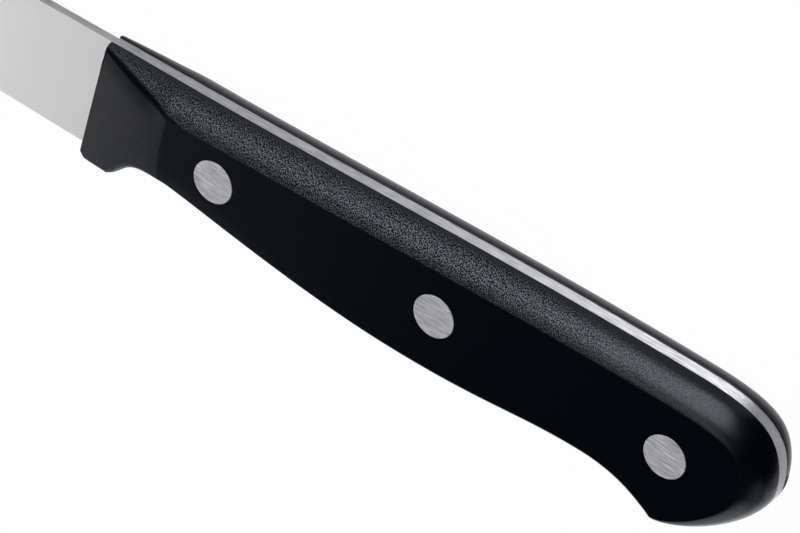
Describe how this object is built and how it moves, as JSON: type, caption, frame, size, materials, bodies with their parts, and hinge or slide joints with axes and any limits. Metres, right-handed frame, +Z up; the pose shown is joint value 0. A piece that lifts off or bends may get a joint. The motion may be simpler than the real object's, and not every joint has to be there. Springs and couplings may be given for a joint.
{
  "type": "steak knife",
  "caption": "Steak knife with a plain pointed blade, a full tang that shows all round the handle, and black moulded scales held by flush round rivets.",
  "frame": {"origin": "on the surface that the knife lies on, under the middle of its box", "axes": "+X from tip to butt, +Y from edge to spine, +Z up from the right side to the left side"},
  "size_m": [0.2284, 0.022, 0.0098],
  "materials": {
    "steel": "satin, ground across the blade and brushed along the tang",
    "rivet_metal": "brushed along the handle",
    "black_plastic": "smooth flat sides, finely blasted round the edges"
  },
  "bodies": {
    "root": {"blade_and_tang": "steel", "left_scale": "black_plastic", "right_scale": "black_plastic", "front_rivet_post": "rivet_metal", "front_rivet_sleeve": "rivet_metal", "middle_rivet_post": "rivet_metal", "middle_rivet_sleeve": "rivet_metal", "rear_rivet_post": "rivet_metal", "rear_rivet_sleeve": "rivet_metal"}
  },
  "joints": []
}
